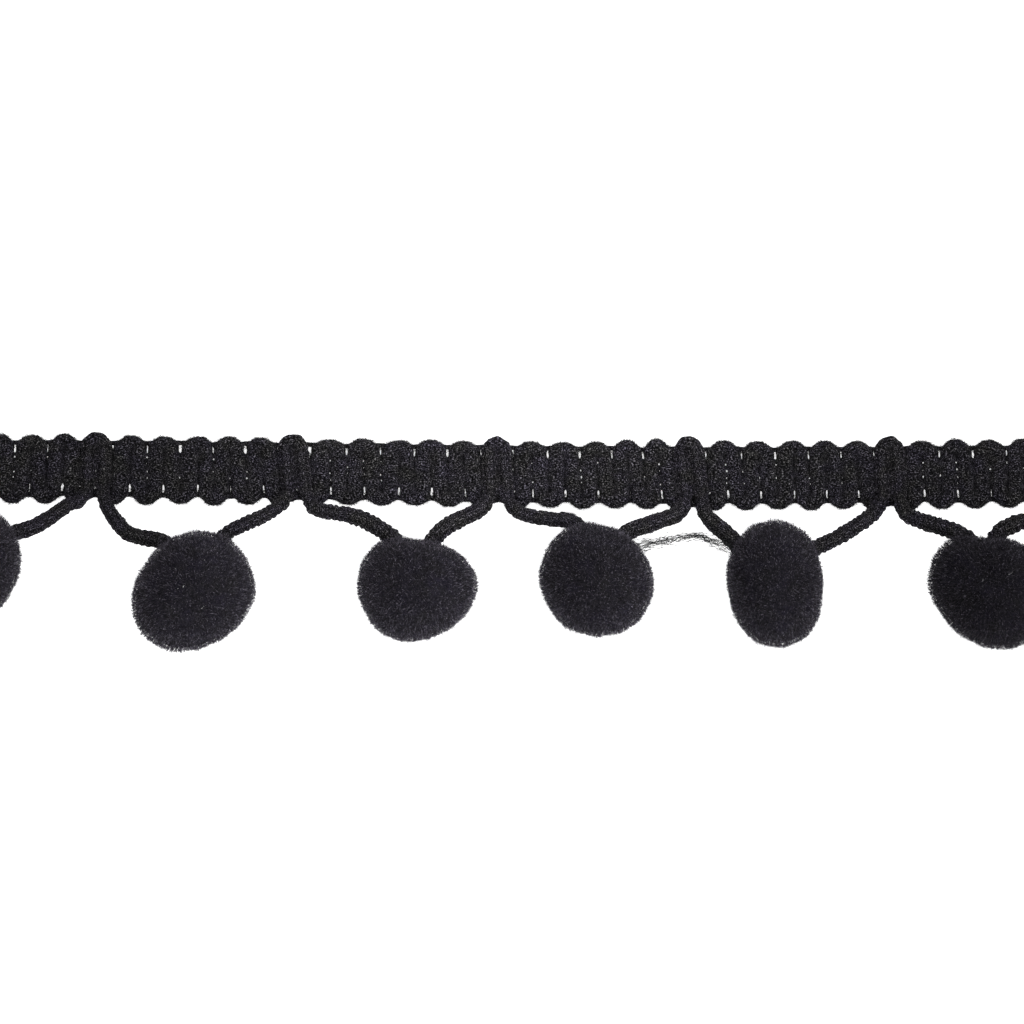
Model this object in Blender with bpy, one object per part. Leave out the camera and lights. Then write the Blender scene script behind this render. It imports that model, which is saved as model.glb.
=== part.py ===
"""Pompom fringe trim: a woven gimp heading, its pompom cord in seven runs, and six pompoms.

Metres, +Z up. X runs along the trim and Y across it, with the pompoms towards -Y. The trim
lies face up on the plane Z = 0, and the origin is the middle of the heading's flat back.

Places along the heading are counted in passes of its yarn. A hairpin of the pompom cord sits
at every twelfth pass, and the soft weft yarn makes the ten passes between two hairpins.
"""

import math
from collections import namedtuple

import bmesh
import bpy
from mathutils import Vector

# Heading: across it, a place is a share of the half width, -1 at the lower edge, 1 at the upper.
HEADING_WIDTH = 0.0105
PASS_PITCH = 0.0025
PASSES_PER_REPEAT = 12
END_PASSES = 3
DIP_REACH = {1: 0.00416, -1: 0.00438}
LOBE_UNEVEN = 0.00010
LOBE_UNEVEN_RATE = 1.4
FULL_LOBES = (44, 46)
FULL_LOBE_RISE = 0.0005
BESIDE_RISE = 0.0002
LEAN_RISE = 1.5
LEAN_FALL = 3.0
RIB_UNEVEN = 0.00006
RIB_UNEVEN_RATE = 1.9
EDGE_ROUND = 0.00035
WEB_HEIGHT = 0.00045
WEB_UPPER = 0.00385
DIVE_DEPTH = 0.00040
SWAY = 0.00052
SWAY_HALF_WAVE = 0.1137
SWAY_CREST_X = -0.0756

# Pompom cord
CORD_RADIUS = 0.00102
CORD_GAP = 0.0003
CORD_PASS_OFFSET = 0.00116
CORD_LIE = WEB_HEIGHT + CORD_GAP + CORD_RADIUS
CORD_SIDES_RESOLUTION = 2
CORD_ROOT = -0.0030
TURN_POINTS = 6
LEG_SPACING = 0.0021
LEG_RADIUS = 0.00113
LEG_SWELL_START = 0.0060
LEG_SWELL_END = 0.0078
ENTRY_HEIGHT = 0.0068
SOCKET_DEPTH = 0.0015
SOCKET_RADIUS = LEG_RADIUS + 0.00043
SOCKET_REACH = 0.0068

# Pompoms
BALL_CUTS = 7
FLAT_SPOT_DEPTH = 0.0005
DENT_WIDTH = 0.38
TUFT_RISE = 0.030
TUFT_RATE = 7.3
TUFT_SHIFTS = (2.1, 1.3, 0.7)

# Yarn heights above the heading's back, from the middle of the heading out to its rim.
# crest is the top of a pass and shoulder its flank; turn is the dip inside a lobe, where the
# yarn turns round, and gap is the dip between two lobes.
Row = namedtuple("Row", "across crest shoulder turn gap")
ROWS = (
    Row(0.42, 0.00230, 0.00205, 0.00145, 0.00145),
    Row(0.66, 0.00230, 0.00205, 0.00160, 0.00070),
    Row(0.86, 0.00215, 0.00195, 0.00200, 0.00110),
    Row(1.00, 0.00105, 0.00105, 0.00105, 0.00105),
)
FLANK = 0.18  # a pass's shoulders stand this share of a pass in from its two dips

# Where each hairpin's axis crosses the upper and the lower edge of the heading, how far its tip
# stands above the lobes beside it, and how far down the web behind it reaches.
Hairpin = namedtuple("Hairpin", "upper_x lower_x rise web")
HAIRPINS = (
    Hairpin(-0.0911, -0.0911, 0.0003, 0.0044),
    Hairpin(-0.0608, -0.0612, 0.0002, 0.0044),
    Hairpin(-0.0313, -0.0303, 0.0002, 0.0044),
    Hairpin(-0.0004, 0.0002, 0.0002, 0.0044),
    Hairpin(0.0286, 0.0299, 0.0005, 0.0049),
    Hairpin(0.0592, 0.0596, 0.0004, 0.0048),
    Hairpin(0.0899, 0.0899, 0.0003, 0.0044),
)

LAST_PASS = (len(HAIRPINS) - 1) * PASSES_PER_REPEAT

# The weave between two hairpins, as it lies: how far the upper and the lower ends of its passes
# lean to the right, how much further the upper lobe in its middle leans, and how far the lobes of
# the two edges reach from the middle line.
Repeat = namedtuple("Repeat", "upper_lean lower_lean middle_lean upper_reach lower_reach")
REPEATS = (
    Repeat(0.0003, 0.0000, 0.0000, 0.0051, 0.0054),
    Repeat(0.0003, 0.0001, 0.0006, 0.0049, 0.0054),
    Repeat(0.0005, -0.0001, 0.0006, 0.0048, 0.0051),
    Repeat(0.0005, 0.0002, 0.0003, 0.0048, 0.0052),
    Repeat(0.0004, 0.0002, 0.0004, 0.0051, 0.0053),
    Repeat(-0.0002, 0.0001, -0.0002, 0.0051, 0.0053),
)

# Each pompom's middle, and its outline seen from above: the mean radius, how much longer and
# shorter it is along and across its long direction, how far it bulges to three sides, and the
# dent between its two legs.
Pompom = namedtuple("Pompom", "x y radius oval oval_deg bulge bulge_deg dent dent_deg depth")
POMPOMS = (
    Pompom(-0.0806, -0.0139, 0.0087, 0.0005, 75, 0.0001, 10, 0.0002, 100, 0.0172),
    Pompom(-0.0462, -0.0182, 0.0091, 0.0007, 40, 0.0002, -20, 0.0001, 95, 0.0178),
    Pompom(-0.0126, -0.0177, 0.0084, 0.0006, -5, 0.0004, 10, 0.0002, 90, 0.0170),
    Pompom(0.0148, -0.0164, 0.0086, 0.0003, -45, 0.0001, -15, 0.0003, 80, 0.0172),
    Pompom(0.0419, -0.0170, 0.0084, 0.0012, 95, 0.0001, 45, 0.0000, 90, 0.0164),
    Pompom(0.0748, -0.0179, 0.0092, 0.0009, 150, 0.0002, 20, 0.0011, 100, 0.0174),
)

# Each leg of the cord, seen from above, from the heading's edge to the pompom's outline. hairpin
# and pompom are places in their tables; side is -1 for the leg to the left of its hairpin.
Leg = namedtuple("Leg", "hairpin side pompom route")
LEGS = (
    Leg(0, 1, 0, ((-0.0893, -0.0052), (-0.0880, -0.0064), (-0.0863, -0.0073))),
    Leg(1, -1, 0, ((-0.0634, -0.0044), (-0.0650, -0.0050), (-0.0669, -0.0063),
                   (-0.0688, -0.0076), (-0.0708, -0.0086), (-0.0728, -0.0092))),
    Leg(1, 1, 1, ((-0.0596, -0.0047), (-0.0582, -0.0071), (-0.0562, -0.0093),
                  (-0.0534, -0.0101), (-0.0509, -0.0106))),
    Leg(2, -1, 1, ((-0.0331, -0.0052), (-0.0361, -0.0070), (-0.0391, -0.0083),
                   (-0.0406, -0.0091), (-0.0415, -0.0098))),
    Leg(2, 1, 2, ((-0.0284, -0.0047), (-0.0277, -0.0057), (-0.0243, -0.0063),
                  (-0.0211, -0.0071), (-0.0186, -0.0083), (-0.0163, -0.0099))),
    Leg(3, -1, 2, ((-0.0020, -0.0048), (-0.0032, -0.0060), (-0.0059, -0.0073),
                   (-0.0083, -0.0087), (-0.0099, -0.0104))),
    Leg(3, 1, 3, ((0.0020, -0.0052), (0.0033, -0.0063), (0.0055, -0.0069),
                  (0.0083, -0.0073), (0.0106, -0.0074))),
    Leg(4, -1, 3, ((0.0276, -0.0059), (0.0259, -0.0070), (0.0235, -0.0078),
                   (0.0210, -0.0086), (0.0193, -0.0094))),
    Leg(4, 1, 4, ((0.0312, -0.0062), (0.0323, -0.0076), (0.0341, -0.0091),
                  (0.0359, -0.0108))),
    Leg(5, -1, 4, ((0.0570, -0.0061), (0.0548, -0.0079), (0.0523, -0.0095),
                   (0.0497, -0.0108), (0.0480, -0.0116))),
    Leg(5, 1, 5, ((0.0615, -0.0062), (0.0629, -0.0071), (0.0659, -0.0081),
                  (0.0683, -0.0088), (0.0702, -0.0097), (0.0714, -0.0106))),
    Leg(6, -1, 5, ((0.0886, -0.0054), (0.0864, -0.0062), (0.0821, -0.0071),
                   (0.0797, -0.0075), (0.0778, -0.0081), (0.0763, -0.0088),
                   (0.0754, -0.0099))),
)

Finish = namedtuple("Finish", "colour roughness")
FINISHES = {
    "heading_yarn": Finish((0.014, 0.013, 0.016, 1.0), 0.85),
    "cord_yarn": Finish((0.016, 0.015, 0.018, 1.0), 0.85),
    "pompom_pile": Finish((0.012, 0.011, 0.014, 1.0), 0.95),
}


def clear_scene():
    for obj in list(bpy.data.objects):
        bpy.data.objects.remove(obj, do_unlink=True)


def material(name):
    finish = FINISHES[name]
    made = bpy.data.materials.new(name)
    made.use_nodes = True
    shader = made.node_tree.nodes["Principled BSDF"]
    shader.inputs["Base Color"].default_value = finish.colour
    shader.inputs["Roughness"].default_value = finish.roughness
    shader.inputs["Metallic"].default_value = 0.0
    return made


def add_object(name, data, parent):
    obj = bpy.data.objects.new(name, data)
    bpy.context.collection.objects.link(obj)
    obj.parent = parent
    return obj


# The heading's own coordinates


def mix(start, end, share):
    return start + (end - start) * share


def sway(x):
    """How far the middle line of the heading wanders from Y = 0 at x."""
    return SWAY * math.cos(math.pi * (x - SWAY_CREST_X) / SWAY_HALF_WAVE)


def hairpin_x(index, across):
    hairpin = HAIRPINS[index]
    return mix(hairpin.lower_x, hairpin.upper_x, (across + 1) / 2)


def hairpin_distance(passes):
    """Passes from here to the nearest hairpin's axis."""
    nearest = min(max(round(passes / PASSES_PER_REPEAT), 0), len(HAIRPINS) - 1)
    return abs(passes - nearest * PASSES_PER_REPEAT)


def nearest_lobe(passes, side):
    """The whole pass of the nearest lobe: even ones are on the upper edge, odd ones below."""
    first = 0 if side > 0 else 1
    return first + 2 * round((passes - first) / 2)


def lean(passes, across):
    """How far the weave leans to the right here. It stands straight just before each hairpin."""
    index = min(max(int(passes / PASSES_PER_REPEAT), 0), len(REPEATS) - 1)
    since = passes - index * PASSES_PER_REPEAT
    share = min(since / LEAN_RISE, (PASSES_PER_REPEAT - 1 - since) / LEAN_FALL)
    repeat = REPEATS[index]
    middle = repeat.middle_lean * max(0.0, 1 - abs(since - PASSES_PER_REPEAT / 2))
    full = mix(repeat.lower_lean, repeat.upper_lean + middle, (across + 1) / 2)
    return full * min(max(share, 0.0), 1.0)


def weave_x(passes, across):
    """X at a place counted in passes from the first hairpin. Passes are spread between hairpins."""
    index = min(max(int(passes / PASSES_PER_REPEAT), 0), len(HAIRPINS) - 2)
    nearest = min(max(passes, 0), LAST_PASS)
    share = nearest / PASSES_PER_REPEAT - index
    between = mix(hairpin_x(index, across), hairpin_x(index + 1, across), share)
    return between + (passes - nearest) * PASS_PITCH + lean(passes, across)


# Heading


def lobe_reach(whole, side):
    """How far the lobe at this whole pass reaches from the middle line."""
    index = min(max(whole // PASSES_PER_REPEAT, 0), len(REPEATS) - 1)
    reach = REPEATS[index].upper_reach if side > 0 else REPEATS[index].lower_reach
    reach += LOBE_UNEVEN * math.sin(LOBE_UNEVEN_RATE * whole)
    if whole in FULL_LOBES:
        reach += FULL_LOBE_RISE
    if side < 0 and hairpin_distance(whole) == 1:
        reach += BESIDE_RISE
    return reach


def rim(passes, side):
    """Distance of the rim from the middle line: waved in lobes, with a notch where the cord runs."""
    if hairpin_distance(passes) < 1:
        return WEB_UPPER if side > 0 else HAIRPINS[round(passes / PASSES_PER_REPEAT)].web
    lobe = nearest_lobe(passes, side)
    near = (1 + math.cos(math.pi * (passes - lobe))) / 2
    return mix(DIP_REACH[side], lobe_reach(lobe, side), near)


def yarn_height(row, passes, side):
    """Height of the yarn's face in a row of the table, at a column of the weave."""
    if hairpin_distance(passes) < 1:
        return WEB_HEIGHT
    within = passes - math.floor(passes)
    if within == 0:
        turns_here = nearest_lobe(passes, side) == passes and hairpin_distance(passes) > 1
        return row.turn if turns_here else row.gap
    height = row.crest if within == 0.5 else row.shoulder
    if side < 0 and row is not ROWS[0] and hairpin_distance(passes) < 1.5:
        height = max(height - DIVE_DEPTH, ROWS[-1].shoulder)
    return height + RIB_UNEVEN * math.sin(RIB_UNEVEN_RATE * math.floor(passes))


def heading_section(passes):
    """The heading's closed section at one column: the back's two edges, and the yarn between."""

    def place(side, share, height):
        x = weave_x(passes, side * share)
        return Vector((x, side * share * rim(passes, side) + sway(x), height))

    def back_edge(side):
        return place(side, 1 - EDGE_ROUND / rim(passes, side), 0.0)

    lower = [place(-1, row.across, yarn_height(row, passes, -1)) for row in reversed(ROWS)]
    upper = [place(1, row.across, yarn_height(row, passes, 1)) for row in ROWS]
    return [back_edge(-1), *lower, *upper, back_edge(1)]


def heading_columns():
    """The places in passes where the heading has a section: dips, shoulders and crests."""
    end = LAST_PASS + END_PASSES
    columns = []
    for dip in range(-END_PASSES, end):
        columns += [dip, dip + FLANK, dip + 0.5, dip + 1 - FLANK]
    return columns + [end]


def loft(name, sections):
    """A closed mesh through sections with the same number of points, capped at both ends."""
    bm = bmesh.new()
    loops = [[bm.verts.new(point) for point in section] for section in sections]
    for near, far in zip(loops, loops[1:]):
        for i in range(len(near)):
            bm.faces.new((near[i - 1], near[i], far[i], far[i - 1]))
    bm.faces.new(reversed(loops[0]))
    bm.faces.new(loops[-1])
    bmesh.ops.recalc_face_normals(bm, faces=bm.faces)
    mesh = bpy.data.meshes.new(name)
    bm.to_mesh(mesh)
    bm.free()
    return mesh


def add_heading(parent, finish):
    mesh = loft("heading", [heading_section(column) for column in heading_columns()])
    mesh.materials.append(finish)
    mesh.shade_smooth()
    mesh.set_sharp_from_angle(angle=math.radians(50))
    add_object("heading", mesh, parent)


# Pompom cord


def catmull_rom(points, spacing):
    """Points about this far apart on a smooth curve through the given ones."""
    padded = [2 * points[0] - points[1], *points, 2 * points[-1] - points[-2]]
    curve = []
    for a, b, c, d in zip(padded, padded[1:], padded[2:], padded[3:]):
        steps = max(1, round((c - b).length / spacing))
        for i in range(steps):
            t = i / steps
            curve.append(
                0.5 * (2 * b + (c - a) * t + (2 * a - 5 * b + 4 * c - d) * t**2
                       + (3 * b - a - 3 * c + d) * t**3)
            )
    return curve + [points[-1]]


def pompom_middle(pompom):
    return Vector((pompom.x, pompom.y, pompom.depth / 2 - FLAT_SPOT_DEPTH))


def pass_point(hairpin, side, y):
    """A point of the cord where it lies in the heading, beside its hairpin's axis."""
    x = hairpin_x(hairpin, 2 * y / HEADING_WIDTH) + side * CORD_PASS_OFFSET
    return Vector((x, y + sway(x), CORD_LIE))


def leg_points(leg):
    """The leg's centre line from the heading into its pompom, rising as it goes."""
    plan = [Vector((*point, 0.0)) for point in leg.route]
    along = (plan[-1] - plan[-2]).normalized()
    middle = pompom_middle(POMPOMS[leg.pompom])
    inward = (Vector((middle.x, middle.y, 0.0)) - plan[-1]).normalized()
    plan.append(plan[-1] + SOCKET_DEPTH * (along + inward).normalized())
    root = pass_point(leg.hairpin, leg.side, CORD_ROOT)
    plan.insert(0, Vector((root.x, root.y, 0.0)))
    curve = catmull_rom(plan, LEG_SPACING)
    travelled = [0.0]
    for near, far in zip(curve, curve[1:]):
        travelled.append(travelled[-1] + (far - near).length)
    for point, run in zip(curve, travelled):
        point.z = mix(CORD_LIE, ENTRY_HEIGHT, math.sin(math.pi / 2 * run / travelled[-1]))
    return curve


def turn_points(hairpin):
    """The U-turn at the upper edge, from the left pass over to the right one."""
    tip = HEADING_WIDTH / 2 + HAIRPINS[hairpin].rise
    middle = tip - CORD_RADIUS - CORD_PASS_OFFSET
    centre_x = hairpin_x(hairpin, 2 * middle / HEADING_WIDTH)
    points = []
    for i in range(TURN_POINTS + 1):
        angle = math.pi * (1 - i / TURN_POINTS)
        x = centre_x + CORD_PASS_OFFSET * math.cos(angle)
        y = middle + CORD_PASS_OFFSET * math.sin(angle)
        points.append(Vector((x, y + sway(x), CORD_LIE)))
    return points


def cord_points(hairpin):
    """The whole run of the cord at one hairpin. Beyond an outer hairpin it is cut at the edge."""
    legs = {leg.side: leg_points(leg) for leg in LEGS if leg.hairpin == hairpin}
    left = legs.get(-1, [pass_point(hairpin, -1, CORD_ROOT)])
    right = legs.get(1, [pass_point(hairpin, 1, CORD_ROOT)])
    return [*reversed(left), *turn_points(hairpin), *right]


def cord_radius(point):
    """The cord is a little thicker on its legs than where the weave holds it tight."""
    below = sway(point.x) - point.y
    share = (below - LEG_SWELL_START) / (LEG_SWELL_END - LEG_SWELL_START)
    return mix(CORD_RADIUS, LEG_RADIUS, min(max(share, 0.0), 1.0))


def cord_curve(name, points, radii):
    curve = bpy.data.curves.new(name, "CURVE")
    curve.dimensions = "3D"
    curve.bevel_depth = CORD_RADIUS
    curve.bevel_resolution = CORD_SIDES_RESOLUTION
    curve.use_fill_caps = True
    spline = curve.splines.new("POLY")
    spline.points.add(len(points) - 1)
    for place, point, radius in zip(spline.points, points, radii):
        place.co = (*point, 1.0)
        place.radius = radius / CORD_RADIUS
    spline.use_smooth = True
    return curve


def add_cord(number, hairpin, parent, finish):
    name = f"pompom_cord_{number}"
    points = cord_points(hairpin)
    curve = cord_curve(name, points, [cord_radius(point) for point in points])
    curve.materials.append(finish)
    add_object(name, curve, parent)


# Pompoms


def outline_radius(pompom, angle):
    """The pompom's radius seen from above, towards this angle."""
    oval = math.cos(2 * (angle - math.radians(pompom.oval_deg)))
    bulge = math.cos(3 * (angle - math.radians(pompom.bulge_deg)))
    off = math.remainder(angle - math.radians(pompom.dent_deg), 2 * math.pi)
    dent = math.exp(-((off / DENT_WIDTH) ** 2))
    return pompom.radius + pompom.oval * oval + pompom.bulge * bulge - pompom.dent * dent


def tuft(direction, seed):
    """How far the cut pile stands proud or falls short in this direction, from -1 to 1."""
    x, y, z = TUFT_RATE * direction
    shift = [seed * step for step in TUFT_SHIFTS]
    return math.sin(x + shift[0]) * math.sin(y + z + shift[1]) * math.cos(z - x - shift[2])


def pompom_mesh(name, pompom, seed):
    bm = bmesh.new()
    bmesh.ops.create_cube(bm, size=2)
    bmesh.ops.subdivide_edges(bm, edges=bm.edges, cuts=BALL_CUTS, use_grid_fill=True)
    rest = -pompom_middle(pompom).z
    for vert in bm.verts:
        direction = vert.co.normalized()
        across = outline_radius(pompom, math.atan2(direction.y, direction.x))
        swell = 1 + TUFT_RISE * tuft(direction, seed)
        vert.co.x = direction.x * across * swell
        vert.co.y = direction.y * across * swell
        vert.co.z = max(direction.z * pompom.depth / 2 * swell, rest)
    mesh = bpy.data.meshes.new(name)
    bm.to_mesh(mesh)
    bm.free()
    mesh.shade_smooth()
    return mesh


def add_socket(pompom_object, leg, parent):
    """Cuts the short socket in which the leg's end sits, with a fatter copy of the leg's end."""
    points = leg_points(leg)
    end = points[-1]
    near = [point for point in points if (point - end).length < SOCKET_REACH]
    beyond = end + CORD_GAP * (end - near[-2]).normalized()
    name = f"socket_{leg.hairpin}_{'left' if leg.side < 0 else 'right'}"
    reach = [*near[:-1], beyond]
    guide = add_object(name + "_guide", cord_curve(name, reach, [SOCKET_RADIUS] * len(reach)), None)
    graph = bpy.context.evaluated_depsgraph_get()
    mesh = bpy.data.meshes.new_from_object(guide.evaluated_get(graph), depsgraph=graph)
    bpy.data.objects.remove(guide, do_unlink=True)
    cutter = add_object(name, mesh, parent)
    cutter.hide_render = True
    cutter.display_type = "WIRE"
    cut = pompom_object.modifiers.new(name, "BOOLEAN")
    cut.operation = "DIFFERENCE"
    cut.solver = "EXACT"
    cut.object = cutter


def add_pompom(number, index, parent, finish):
    pompom = POMPOMS[index]
    name = f"pompom_{number}"
    mesh = pompom_mesh(name, pompom, number)
    mesh.materials.append(finish)
    made = add_object(name, mesh, parent)
    made.location = pompom_middle(pompom)
    for leg in LEGS:
        if leg.pompom == index:
            add_socket(made, leg, parent)


def main():
    clear_scene()
    trim = add_object("trim", None, None)
    add_heading(trim, material("heading_yarn"))
    cord_finish = material("cord_yarn")
    for index in range(len(HAIRPINS)):
        add_cord(index + 1, index, trim, cord_finish)
    pile = material("pompom_pile")
    for index in range(len(POMPOMS)):
        add_pompom(index + 1, index, trim, pile)


main()
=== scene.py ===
import math
from collections import namedtuple

import bpy
import numpy as np
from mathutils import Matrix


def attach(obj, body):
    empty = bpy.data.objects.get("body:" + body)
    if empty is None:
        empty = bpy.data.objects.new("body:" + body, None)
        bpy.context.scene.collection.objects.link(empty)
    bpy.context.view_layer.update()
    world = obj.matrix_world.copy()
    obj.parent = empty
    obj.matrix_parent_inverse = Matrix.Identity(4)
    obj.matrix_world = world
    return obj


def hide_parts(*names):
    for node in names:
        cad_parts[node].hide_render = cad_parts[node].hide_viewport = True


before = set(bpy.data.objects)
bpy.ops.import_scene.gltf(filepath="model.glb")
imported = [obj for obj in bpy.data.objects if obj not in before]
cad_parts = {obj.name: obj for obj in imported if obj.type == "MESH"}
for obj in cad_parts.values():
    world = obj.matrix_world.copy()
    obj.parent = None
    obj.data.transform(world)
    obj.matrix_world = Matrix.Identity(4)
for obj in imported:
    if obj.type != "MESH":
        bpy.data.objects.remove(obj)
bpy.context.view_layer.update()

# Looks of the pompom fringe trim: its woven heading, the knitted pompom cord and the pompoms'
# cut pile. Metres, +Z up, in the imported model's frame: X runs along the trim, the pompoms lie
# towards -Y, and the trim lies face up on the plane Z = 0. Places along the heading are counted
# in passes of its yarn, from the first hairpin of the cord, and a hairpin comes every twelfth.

# Camera, straight above, and the light
METRES_PER_PIXEL = 0.0001516
FRAME_PIXELS = 1024
VIEW_CENTRE = (0.00206, -0.00616)
CAMERA_HEIGHT = 4.0
SENSOR_MM = 36.0
SKY_NEAR = 2.20
SKY_FAR = 0.35
LIGHT_FROM = (0.97, -0.24, -0.05)
FLOOR_SIZE = 12.0
FLOOR_DROP = 0.0002
FLOOR_GLOW = 0.9

# Heading
HEADING_WIDTH = 0.0105
HALF = HEADING_WIDTH / 2
PASS_PITCH = 0.0025
REPEAT_PASSES = 12
END_PASSES = 3
DIP_REACH = {1: 0.00416, -1: 0.00438}
LOBE_UNEVEN = 0.00010
LOBE_UNEVEN_RATE = 1.4
FULL_LOBES = (44, 46)
FULL_LOBE_RISE = 0.0005
BESIDE_RISE = 0.0002
LEAN_RISE = 1.5
LEAN_FALL = 3.0
SWAY = 0.00052
SWAY_HALF_WAVE = 0.1137
SWAY_CREST_X = -0.0756

# Weft yarn of the heading
YARN_HALF_HEIGHT = 0.00114
YARN_LIFT = 0.00003
YARN_SQUARENESS = 3.4
YARN_TOP_SIDES = 15
YARN_BACK_SIDES = 5
PASS_SECTIONS = 29
TURN_SECTIONS = 25
FLOAT_SECTIONS = 26
TURN_CENTRE = 0.00265
TURN_FLATTER = 0.06
LOBE_POINTS = 60
LOBE_CORNER = 14.0
LOBE_FULLNESS = 1.4
LOBE_STEEPNESS = 0.4
DIP_BELOW_WARP = 0.00006
YARN_FACE_PAST_LEVEL = 0.06
YARN_LUMP = 0.00008
YARN_LUMP_SIZE = 0.0010
YARN_GRAIN = 0.00006
YARN_GRAIN_SIZE = 0.0005
YARN_SIDE_ROUGH = 0.5
# Painted shade: how much darker the colour gets along the seams between passes, and how closely it
# keeps to them
SEAM_SHADE = 0.35
SEAM_SHADE_POWER = 6
CLOSED_OVERLAP = 0.00024
HAIRPIN_OVERLAP = 0.00070
SEAM_WANDER = 0.00009
SEAM_RATE = 1500
SEAM_RATE_SPREAD = 400
SEAM_RATE_STEP = 2.7
SEAM_TURN = 1.9
SLIT_RISE = (0.0021, 0.0005)
SLIT_RAGGED = 0.00009
SLIT_RAGGED_RATES = (14000, 5100)
SLIT_RAGGED_TURN = 6
VALLEY_SEED = 1000
SLIT_WIDTHS = (0.00010, 0.00034)
DOTTED_SEAMS = 0.55
DOT_CHANCES = (0.14, 0.75)
DOT_WIDTHS = (0.00034, 0.00056)
DOT_PLACES = (0.35, 0.65)
DOT_LENGTH = 0.00018
FLOAT_HALF_HEIGHT = 0.00055
FLOAT_Z = 0.00060
FLOAT_SINK = (0.45, 0.4)

# Warp threads: their places across the heading and radii
Warp = namedtuple("Warp", "y radius")
THIN_WARPS = [Warp(y, 0.00013) for y in (-0.00185, -0.00090, 0.00010, 0.00110, 0.00215)]
WARPS = [Warp(-0.00396, 0.00042), *THIN_WARPS, Warp(0.00385, 0.00038)]
WARP_THICK = 0.0002
WARP_SIDES = 5
WARP_STEPS = 6
WARP_LOW = 0.00030
WARP_HIGH = 0.00135
WARP_RISE_POWER = 1.5
WARP_CLEAR = (0.7, 0.3)
WARP_PINCH = 0.00010
WARP_PINCH_LENGTH = 0.00022
WARP_END = 0.0004
WARP_WANDERS = ((0.00008, 1.7, 900), (0.00005, 4.1, 500))

# Pompom cord
CORD_RADIUS = 0.00102
CORD_PASS_OFFSET = 0.00116
LEG_RADIUS = 0.00113
LEG_SWELL = (0.0060, 0.0018)
CORD_LIE = 0.00177
CORD_ROOT = -0.0030
ENTRY_HEIGHT = 0.0068
SOCKET_DEPTH = 0.0036
CORD_STEP = 0.00013
CORD_SIDES = 24
CORD_WALES = 6
CORD_STITCH = 0.00095
CORD_STITCH_DEPTH = 0.00018
STITCH_MIDDLE = 0.70
STITCH_LEAN = 0.9
STITCH_LOW = 0.35
WALE_CREASE = 0.3
WALE_CREASE_WIDTH = 0.12
TIP_RELIEF = 0.35
CORD_PASS_RISE = (-0.0034, 0.0008)
CORD_PASS_HALF_WIDTH = 0.00132
CORD_TIP_RISE = (0.0030, 0.0010)
CORD_TIP_HALF_WIDTH = 0.00120
CORD_TURN_POINTS = 40
CORD_BEND = 9
CORD_SWELL = 0.05
CORD_SWELL_LENGTH = 0.00106
CORD_SWELL_RATE = 700
CORD_LUMP = 0.00012
CORD_LUMP_SIZE = 0.0018

# Pompoms
FLAT_SPOT_DEPTH = 0.0005
DENT_WIDTH = 0.38
TUFT_RISE = 0.030
TUFT_RATE = 7.3
TUFT_SHIFTS = (2.1, 1.3, 0.7)
CORE_CUTS = 22
CORE_SHARE = 0.93
LOWEST_WAY = -0.8
# Painted light: how much lighter the pile's fibres are where they face sideways
SIDE_PAINTED_LIGHT = 0.20
CLUMP_RISE = 0.012
CLUMP_SIZE = 0.10
PILE_DRIFT = 0.5
PILE_DRIFT_SIZE = 0.45
# The pile fibres' shade differs at random; its few much lighter fibres are also painted glints
PILE_SHADE_AND_GLINT_POWER = 3.0
WAY_JITTER = 1.2
POMPOM_SEED = 99
CLUMP_SEED = 399
DRIFT_SEED = 290

# The cut pile's two kinds of fibre. Where they start over the core, how far they reach and how
# unevenly are shares of the way to the pile's face.
Pile = namedtuple("Pile", "count root reach uneven lean radius blunt")
PILES = (
    Pile(10000, -0.01, 0.988, 0.018, 0.00024, 0.000055, True),
    Pile(10500, 0.045, 1.026, 0.030, 0.00026, 0.000028, False),
)

# The pile's fibres that lie back along each leg
COLLAR_HAIRS = 110
COLLAR_BACK_STEPS = 8
COLLAR_ARC = (-0.3 * math.pi, 1.3 * math.pi)
COLLAR_STARTS = (-0.0012, 0.0002)
COLLAR_REACHES = (0.0003, 0.0009)
COLLAR_RADIUS = 0.00104
COLLAR_FLARE = 0.00024
COLLAR_UNEVEN = 0.00012
COLLAR_HAIR_RADIUS = 0.00004
COLLAR_DARKEST = 0.15

# Fuzz of the yarns. It leans this far across the surface for each step out of it.
Fuzz = namedtuple("Fuzz", "length radius lean")
WEFT_FUZZ = Fuzz(0.00044, 0.000035, 1.2)
WARP_FUZZ = Fuzz(0.00036, 0.00004, 1.2)
CORD_FUZZ = Fuzz(0.00036, 0.000032, 1.0)
WEFT_FUZZ_COUNT = 26000
WARP_FUZZ_COUNT = 1200
CORD_FUZZ_PER_RING = 4
FUZZ_LOWEST = -0.4
FUZZ_LENGTHS = (0.5, 1.3)
FUZZ_RISES = (0.2, 1.0)
FUZZ_STRAY = 0.00008
FUZZ_ROOT_DEPTH = 0.00006
# The fuzz fibres' shade differs at random; its few much lighter fibres are also painted glints
FUZZ_SHADE_AND_GLINT_POWER = 5
OUTLINE_FUZZ = 11
OUTLINE_START = 0.0004
OUTLINE_STEEP = 0.6

Hairpin = namedtuple("Hairpin", "upper_x lower_x rise web")
HAIRPINS = (
    Hairpin(-0.0911, -0.0911, 0.0003, 0.0044),
    Hairpin(-0.0608, -0.0612, 0.0002, 0.0044),
    Hairpin(-0.0313, -0.0303, 0.0002, 0.0044),
    Hairpin(-0.0004, 0.0002, 0.0002, 0.0044),
    Hairpin(0.0286, 0.0299, 0.0005, 0.0049),
    Hairpin(0.0592, 0.0596, 0.0004, 0.0048),
    Hairpin(0.0899, 0.0899, 0.0003, 0.0044),
)
LAST_PASS = (len(HAIRPINS) - 1) * REPEAT_PASSES

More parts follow.
